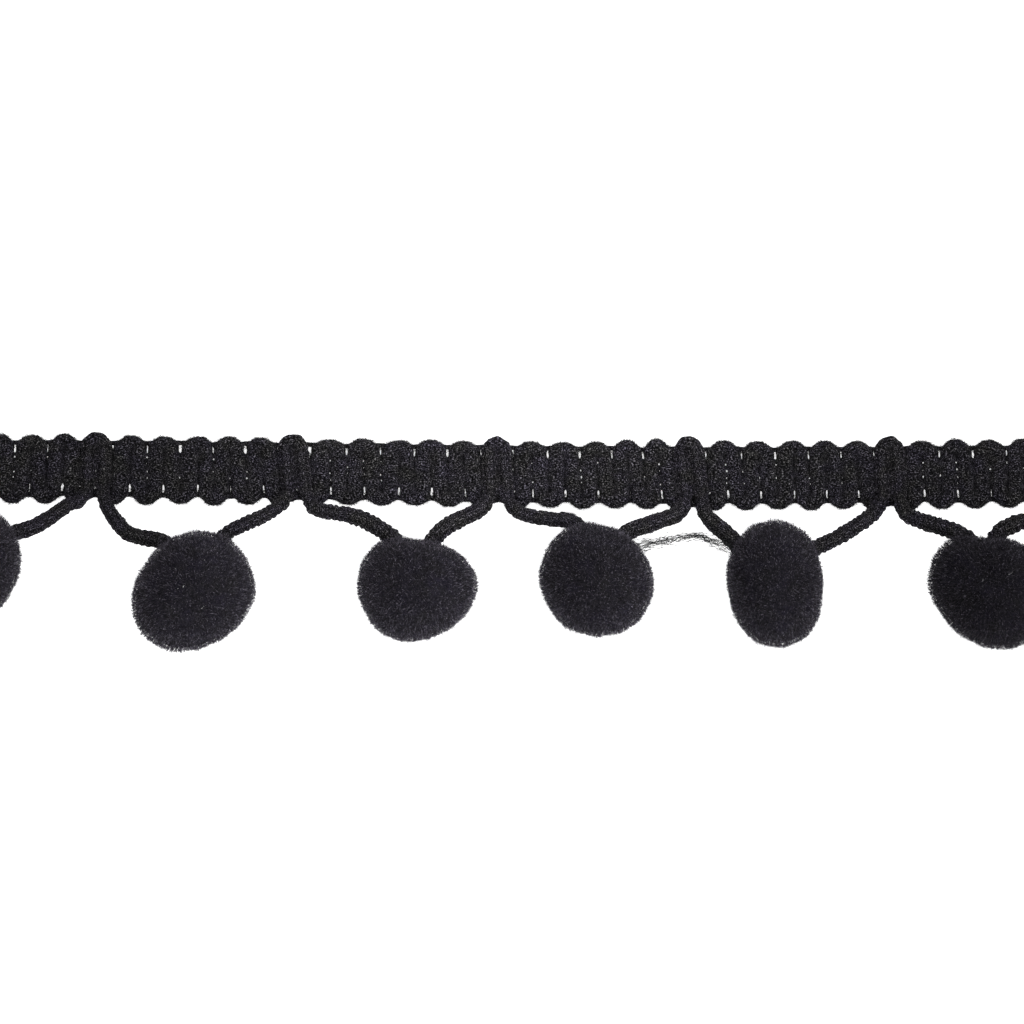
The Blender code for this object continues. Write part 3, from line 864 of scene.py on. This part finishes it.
def slivers(roots, tips, radius, rng, blunt=False):
    """Points and triangles of thin three-sided fibres, pointed at the tip or at the root."""
    along = unit(tips - roots)
    aside = unit(np.cross(along, rng.normal(size=along.shape)))
    other = np.cross(along, aside)
    thick, point = (tips, roots) if blunt else (roots, tips)
    radius = np.broadcast_to(radius, (len(roots),))[:, None]
    corners = [thick + radius * (math.cos(a) * aside + math.sin(a) * other)
               for a in (0, 2 * math.pi / 3, 4 * math.pi / 3)]
    points = np.stack([*corners, point], axis=1).reshape(-1, 3)
    faces = np.array([(0, 1, 3), (1, 2, 3), (2, 0, 3), (0, 2, 1)])
    if blunt:
        faces = faces[:, ::-1]
    return points, (faces[None] + 4 * np.arange(len(roots))[:, None, None]).reshape(-1, 3)


# Materials

DYE_DRIFT_SCALE = 330.0
DYE_TINTS = ((0.34, (1.00, 1.01, 0.92)), (0.66, (1.02, 0.985, 1.16)))
STREAK_STOPS = ((0.36, 0.0), (0.44, 0.32), (0.50, 0.52), (0.57, 0.72), (0.66, 1.0))
UNEVEN_SCALE = 700.0
WANDER_SCALE = 900.0
FLECK_SCALE = 5000.0
FIBRE_BUMP_SCALE = 9000.0


def set_inputs(tree, node, inputs):
    """Sets each input to a value, or links it to another node's output."""
    for label, value in inputs.items():
        if isinstance(value, bpy.types.NodeSocket):
            tree.links.new(value, node.inputs[label])
        else:
            node.inputs[label].default_value = value


def shader(name, roughness, sheen, specular):
    """A material, its node tree and its shader, with what is the same all over the material."""
    made = bpy.data.materials.new(name)
    made.use_nodes = True
    principled = made.node_tree.nodes["Principled BSDF"]
    set_inputs(made.node_tree, principled, {
        "Roughness": roughness, "Specular IOR Level": specular, "Sheen Weight": sheen,
        "Sheen Roughness": 0.45, "Sheen Tint": (0.85, 0.83, 1.0, 1.0)})
    return made, made.node_tree, principled


def add_node(tree, kind, inputs, **settings):
    """A new node's outputs."""
    node = tree.nodes.new(kind)
    for setting, value in settings.items():
        setattr(node, setting, value)
    set_inputs(tree, node, inputs)
    return node.outputs


def noise(tree, vector, scale, detail=3.0, rough=0.6):
    inputs = {"Vector": vector, "Scale": scale, "Detail": detail, "Roughness": rough}
    return add_node(tree, "ShaderNodeTexNoise", inputs)["Fac"]


def attribute(tree, label, output="Fac"):
    return add_node(tree, "ShaderNodeAttribute", {}, attribute_name=label)[output]


def ramp(tree, value, stops):
    node = tree.nodes.new("ShaderNodeValToRGB")
    elements = node.color_ramp.elements
    while len(elements) < len(stops):
        elements.new(0.5)
    for element, (position, colour) in zip(elements, stops):
        element.position = position
        element.color = (*colour, 1.0)
    tree.links.new(value, node.inputs["Fac"])
    return node.outputs["Color"]


def remap(tree, value, low, high, from_low=0.3, from_high=0.7):
    inputs = {"Value": value, "From Min": from_low, "From Max": from_high,
              "To Min": low, "To Max": high}
    return add_node(tree, "ShaderNodeMapRange", inputs)["Result"]


def vector_math(tree, operation, inputs):
    return add_node(tree, "ShaderNodeVectorMath", inputs, operation=operation)


def times(tree, colour, *factors):
    """A colour scaled by values."""
    for factor in factors:
        colour = vector_math(tree, "SCALE", {0: colour, "Scale": factor})["Vector"]
    return colour


def bump(tree, height, distance, strength):
    inputs = {"Height": height, "Distance": distance, "Strength": strength}
    return add_node(tree, "ShaderNodeBump", inputs)["Normal"]


def coordinates(tree, output="Object"):
    return add_node(tree, "ShaderNodeTexCoord", {})[output]


def tinted(tree, colour):
    """The colour with the dyed yarn's slow drift between an olive and a violet black."""
    tint = ramp(tree, noise(tree, coordinates(tree), DYE_DRIFT_SCALE, 2.0), DYE_TINTS)
    return vector_math(tree, "MULTIPLY", {0: colour, 1: tint})["Vector"]


def yarn_material(name, dark, light, grain=(5600, 6200, 1), drop=0.0003):
    """Soft black yarn: pits between its filaments, specks of lighter fibre, uneven dyeing, painted
    shade and light from its relief, and painted light falling off along the trim.
    """
    made, tree, principled = shader(name, roughness=0.85, sheen=0.008, specular=0.02)
    inputs = {"Vector": attribute(tree, "yarn", "Vector"), "Scale": grain}
    yarn = add_node(tree, "ShaderNodeMapping", inputs)["Vector"]
    streaks = noise(tree, yarn, 1.0, 2.0, 0.7)
    growth = [b / a for a, b in zip(dark, light)]
    colour = ramp(tree, streaks, [(stop, tuple(a * g**share for a, g in zip(dark, growth)))
                                  for stop, share in STREAK_STOPS])
    uneven = remap(tree, noise(tree, coordinates(tree), UNEVEN_SCALE), 0.78, 1.25)
    # Painted shade in the yarn's hollows and seams, and painted light on its lumps and stitch
    # ridges, from the relief
    relief = remap(tree, attribute(tree, "relief"), 0.55, 1.35, 0.2, 0.8)
    # The last factor is painted light falling off along the trim
    colour = times(tree, colour, uneven, relief, attribute(tree, "dye"))
    set_inputs(tree, principled, {
        "Base Color": tinted(tree, colour), "Roughness": remap(tree, streaks, 0.65, 0.95),
        "Normal": bump(tree, streaks, drop, 1.0)})
    return made


def fibre_material(name, dark, light, roughness, specular):
    """Single fibres: each has its own shade, and the dyed fibre's colour wanders a little along
    it.
    A painted light falloff along the trim scales them all.
    """
    made, tree, principled = shader(name, roughness=roughness, sheen=0.0, specular=specular)
    colour = ramp(tree, attribute(tree, "shade"), [(0.0, dark), (1.0, light)])
    wander = noise(tree, coordinates(tree), WANDER_SCALE)
    flecks = noise(tree, coordinates(tree), FLECK_SCALE)
    # The last factor is painted light falling off along the trim
    colour = times(tree, colour, remap(tree, wander, 0.7, 1.3),
                   remap(tree, flecks, 0.15, 1.85, 0.42, 0.58),
                   attribute(tree, "dye"))
    fine = noise(tree, coordinates(tree), FIBRE_BUMP_SCALE)
    set_inputs(tree, principled, {
        "Base Color": colour, "Normal": bump(tree, fine, 0.00003, 0.4),
        "Roughness": remap(tree, wander, roughness - 0.1, roughness + 0.1)})
    return made


def finish_piece(piece, material, slot, *nodes):
    piece.data.materials.append(material)
    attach(piece, "root")
    if nodes:
        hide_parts(*nodes)


weft_black = yarn_material("weft_black", dark=(0.0003, 0.0003, 0.00034),
                           light=(0.250, 0.241, 0.264))
cord_black = yarn_material("cord_black", dark=(0.0004, 0.0004, 0.00045),
                           light=(0.275, 0.262, 0.287))
core_black = yarn_material("core_black", dark=(0.011, 0.0104, 0.0130),
                           light=(0.032, 0.030, 0.038), grain=(3000, 3000, 1), drop=0.0001)
pile_black = fibre_material("pile_black", dark=(0.0160, 0.0148, 0.0182),
                            light=(0.152, 0.141, 0.173), roughness=0.70, specular=0.06)
fuzz_black = fibre_material("fuzz_black", dark=(0.0015, 0.0015, 0.0017),
                            light=(0.230, 0.222, 0.244), roughness=0.6, specular=0.05)
wisp_grey = fibre_material("wisp_grey", dark=(0.006, 0.006, 0.0065),
                           light=(0.045, 0.045, 0.047), roughness=0.6, specular=0.2)
lint_pale = fibre_material("lint_pale", dark=(0.30, 0.30, 0.31),
                           light=(0.75, 0.75, 0.76), roughness=0.6, specular=0.3)


def fuzz_on(points, normals, fuzz, count, seed, weight=1.0):
    """Short fibres that stand out of a surface, but for its underside."""
    rng = np.random.default_rng(seed)
    flat_points, flat_normals = points.reshape(-1, 3), normals.reshape(-1, 3)
    chances = (flat_normals[:, 2] > FUZZ_LOWEST) * weight
    chosen = rng.choice(len(flat_points), count, p=chances / chances.sum())
    roots = flat_points[chosen] + rng.normal(size=(count, 3)) * FUZZ_STRAY
    normal = flat_normals[chosen]
    aside = unit(np.cross(normal, rng.normal(size=(count, 3))))
    length = fuzz.length * rng.uniform(*FUZZ_LENGTHS, (count, 1))
    tips = roots + length * unit(normal * rng.uniform(*FUZZ_RISES, (count, 1)) + fuzz.lean * aside)
    roots = roots - normal * FUZZ_ROOT_DEPTH
    fibre_points, faces = slivers(over_ground(roots), over_ground(tips), fuzz.radius, rng)
    # A random shade a fibre, whose few much lighter fibres also stand in as painted glints
    return fibre_points, faces, {"shade": rng.random(count) ** FUZZ_SHADE_AND_GLINT_POWER}


# The heading

weft_points, weft_normals, weft_yarn, weft_painted_relief_shade = yarn_surface(weft_rails())
heading = mesh_object("heading_weft", *tube(weft_points, yarn=weft_yarn, relief=weft_painted_relief_shade))
finish_piece(heading, weft_black, "heading_yarn", "heading")

warp_tubes = []
warp_fuzz = []
for warp in WARPS:
    line = warp_points(warp)
    rings, warp_normals = round_tube(line, warp.radius, WARP_SIDES)
    warp_yarn = yarn_places(arc_lengths(line), np.arange(WARP_SIDES) * warp.radius)
    warp_tubes.append(tube(rings, yarn=warp_yarn, relief=0.5))
    if warp.radius > WARP_THICK:
        warp_fuzz.append(fuzz_on(rings, warp_normals, WARP_FUZZ, WARP_FUZZ_COUNT, seed=31))
warps = joined_object("heading_warps", warp_tubes)
finish_piece(warps, weft_black, "heading_yarn")

out_from_middle = np.abs(weft_points[..., 1] - sway(weft_points[..., 0]))
steep = np.abs(weft_normals[..., 2]) < OUTLINE_STEEP
on_outline = (out_from_middle > TURN_CENTRE + OUTLINE_START) & steep
weft_fuzz = fuzz_on(weft_points, weft_normals, WEFT_FUZZ, WEFT_FUZZ_COUNT, seed=21,
                    weight=1 + OUTLINE_FUZZ * on_outline.ravel())
heading_fuzz = joined_object("heading_fuzz", [weft_fuzz, *warp_fuzz])
finish_piece(heading_fuzz, fuzz_black, "heading_yarn")

# The cord

cord_fuzz = []
for index in range(len(HAIRPINS)):
    points, normals, yarn, stitches = cord_surface(index)
    # Its stitch heights go in as relief, which paints shade into the knit's hollows
    cord = mesh_object(f"cord_{index + 1}", *tube(points, yarn=yarn, relief=stitches))
    finish_piece(cord, cord_black, "cord_yarn", f"pompom_cord_{index + 1}")
    count = CORD_FUZZ_PER_RING * len(points)
    cord_fuzz.append(fuzz_on(points, normals, CORD_FUZZ, count, seed=60 + index))
finish_piece(joined_object("cord_fuzz", cord_fuzz), fuzz_black, "cord_yarn")

# The pompoms


def core_directions(cuts):
    """A cube's faces, cut into this many rows and pushed out to a sphere: places and quads."""
    steps = np.tan(np.linspace(-1, 1, cuts + 1) * math.pi / 4)
    a, b = np.meshgrid(steps, steps, indexing="ij")
    one = np.ones_like(a)
    sides = [(a, b, one), (b, a, -one), (one, a, b), (-one, b, a), (b, one, a), (a, -one, b)]
    grid = [unit(np.stack(side, axis=-1).reshape(-1, 3)) for side in sides]
    i, j = np.indices((cuts, cuts))
    n = cuts + 1
    quad = np.stack([i * n + j, (i + 1) * n + j, (i + 1) * n + j + 1, i * n + j + 1], axis=-1)
    faces = np.concatenate([quad.reshape(-1, 4) + k * n * n for k in range(len(sides))])
    places, index = np.unique(np.round(np.concatenate(grid), 6), axis=0, return_inverse=True)
    return unit(places), index.reshape(-1)[faces]


def collar(leg, rng):
    """The pile's fibres that lie back along a leg where it goes into its pompom."""
    line = leg_points(leg)
    travelled = arc_lengths(line)
    entry = np.searchsorted(travelled, travelled[-1] - SOCKET_DEPTH)
    along = unit(line[entry - COLLAR_BACK_STEPS] - line[entry])
    aside, upward = across(along)
    size = (COLLAR_HAIRS, 1)
    angle = rng.uniform(*COLLAR_ARC, size)
    round_leg = np.cos(angle) * aside + np.sin(angle) * upward
    start = rng.uniform(*COLLAR_STARTS, size)
    roots = line[entry] + start * along + COLLAR_RADIUS * round_leg
    reach = rng.uniform(*COLLAR_REACHES, size)
    stray = COLLAR_UNEVEN * rng.normal(size=roots.shape)
    tips = roots + reach * along + COLLAR_FLARE * round_leg + stray
    points, faces = slivers(roots, tips, COLLAR_HAIR_RADIUS, rng)
    return points, faces, {"shade": mix(COLLAR_DARKEST, 1.0, rng.random(COLLAR_HAIRS) ** 2)}


def pile_fibres(kind, pompom, number, rng):
    """A pompom's fibres of one kind, as a part of its pile."""
    reach = kind.reach + kind.uneven * rng.normal(size=kind.count)
    way = spread_directions(kind.count, rng)
    seen = way[:, 2] > LOWEST_WAY
    way, reach = way[seen], reach[seen]
    clumps = CLUMP_RISE * lumps(way, CLUMP_SIZE, CLUMP_SEED + number)
    roots = pompom_surface(pompom, number, way, CORE_SHARE + kind.root)
    tips = pompom_surface(pompom, number, way, reach + clumps)
    drift = [lumps(way, PILE_DRIFT_SIZE, DRIFT_SEED + 10 * number + k) for k in range(3)]
    throw = np.stack(drift, axis=-1) * PILE_DRIFT + rng.normal(size=way.shape)
    throw = throw - way * (throw * way).sum(axis=-1, keepdims=True)
    tips = over_ground(tips + kind.lean * throw)
    points, faces = slivers(roots, tips, kind.radius, rng, kind.blunt)
    # Painted light: fibres on the pompom's sides get a lighter shade, for light catching the pile
    # from the side
    side_painted_light = SIDE_PAINTED_LIGHT * (1 - way[:, 2] ** 2) ** 2
    # The random shade's few much lighter fibres also stand in as painted glints
    return points, faces, {"shade": rng.random(len(way)) ** PILE_SHADE_AND_GLINT_POWER + side_painted_light}


def add_pompom(index):
    pompom, number = POMPOMS[index], index + 1
    directions, faces = core_directions(CORE_CUTS)
    core_points = pompom_surface(pompom, number, directions, CORE_SHARE)
    core_attributes = {"yarn": core_points, "relief": np.full(len(core_points), 0.5)}
    core = mesh_object(f"pompom_core_{number}", core_points, faces, core_attributes, pompom.dye)
    finish_piece(core, core_black, "pompom_pile", f"pompom_{number}")
    rng = np.random.default_rng(POMPOM_SEED + number)
    fibres = [pile_fibres(kind, pompom, number, rng) for kind in PILES]
    fibres += [collar(leg, rng) for leg in LEGS if leg.pompom == index]
    pile = joined_object(f"pompom_pile_{number}", fibres, pompom.dye)
    finish_piece(pile, pile_black, "pompom_pile")


for index in range(len(POMPOMS)):
    add_pompom(index)

# The loose wisp and the lint


def add_wisp():
    rng = np.random.default_rng(77)
    middle = evenly(catmull_rom(WISP_PATH, WISP_STEP), WISP_STEP)
    share = np.linspace(0, 1, len(middle))
    spread = np.interp(share, np.linspace(0, 1, len(WISP_SPREADS)), WISP_SPREADS)
    aside = across(tangents(middle))[0]
    tubes = []
    for strand in range(WISP_STRANDS):
        ply = 2 * math.pi * (strand % WISP_PLIES) / WISP_PLIES
        twist = np.sin(WISP_TWIST * share + ply)
        twist = twist + 0.35 * np.sin(21 * share + rng.uniform(0, WISP_TURN))
        side = 0.25 * twist + rng.normal() * WISP_STRAY
        side = side + 0.25 * np.sin(34 * share + rng.uniform(0, WISP_TURN))
        lift = rng.normal() * WISP_LIFT + np.cos(WISP_TWIST * share + ply)
        curl = np.cumsum(rng.normal(size=(len(share), 3)), axis=0)
        curl = WISP_CURL * (eased(curl, 1) - eased(curl, 7))
        line = middle + (spread * side)[:, None] * aside + curl
        line[:, 2] += spread * lift
        first, last = rng.integers(0, WISP_TRIM), len(line) - rng.integers(0, WISP_TRIM)
        if strand >= WISP_LONG_STRANDS:
            first = rng.integers(0, len(line) - 5)
            last = first + rng.integers(*WISP_SHORT_STEPS)
        rings = round_tube(line[first:last], rng.uniform(*WISP_RADII), 3)[0]
        tubes.append(tube(rings, shade=rng.random() ** 2))
    finish_piece(joined_object("wisp", tubes), wisp_grey, "pompom_pile")


def pile_height(pompom, x, y):
    """Height just over a pompom's pile at this place."""
    middle = pompom_middle(pompom)
    reach = outline_radius(pompom, math.atan2(y - middle[1], x - middle[0]))
    share = math.hypot(x - middle[0], y - middle[1]) / reach
    return middle[2] + PILE_TOP * pompom.depth / 2 * math.sqrt(1 - share**2)


def add_lint():
    ends = np.array([[[x, y, pile_height(POMPOMS[speck.pompom], x, y)] for x, y in speck.ends]
                     for speck in LINT])
    radii = np.array([speck.radius for speck in LINT])
    points, faces = slivers(ends[:, 0], ends[:, 1], radii, np.random.default_rng(78))
    lint = joined_object("lint", [(points, faces, {"shade": np.linspace(1.0, 0.2, len(LINT))})])
    finish_piece(lint, lint_pale, "pompom_pile")


add_wisp()
add_lint()

# Floor, light and camera

corners = ((-1, -1), (1, -1), (1, 1), (-1, 1))
floor_points = [(x * FLOOR_SIZE / 2, y * FLOOR_SIZE / 2, -FLOOR_DROP) for x, y in corners]
floor = mesh_object("floor", np.array(floor_points), np.array([(0, 1, 2, 3)]), {})
floor_white, floor_tree, floor_shader = shader("floor_white", 0.9, sheen=0.0, specular=0.1)
set_inputs(floor_tree, floor_shader, {
    "Base Color": (0.9, 0.9, 0.9, 1.0), "Emission Color": (1.0, 1.0, 1.0, 1.0),
    "Emission Strength": FLOOR_GLOW})
floor.data.materials.append(floor_white)

world = bpy.data.worlds.new("studio")
world.use_nodes = True
air = world.node_tree
facing = vector_math(air, "DOT_PRODUCT", {0: coordinates(air, "Generated"), 1: LIGHT_FROM})
set_inputs(air, air.nodes["Background"], {
    "Color": (1.0, 1.0, 1.0, 1.0),
    "Strength": remap(air, facing["Value"], SKY_FAR, SKY_NEAR, -1.0, 1.0)})
bpy.context.scene.world = world
bpy.context.scene.view_settings.view_transform = "Standard"

camera_data = bpy.data.cameras.new("camera")
camera_data.sensor_width = SENSOR_MM
camera_data.lens = SENSOR_MM * CAMERA_HEIGHT / (METRES_PER_PIXEL * FRAME_PIXELS)
camera_data.clip_end = 3 * CAMERA_HEIGHT
camera = bpy.data.objects.new("camera", camera_data)
camera.location = (*VIEW_CENTRE, CAMERA_HEIGHT)
bpy.context.scene.collection.objects.link(camera)
bpy.context.scene.camera = camera
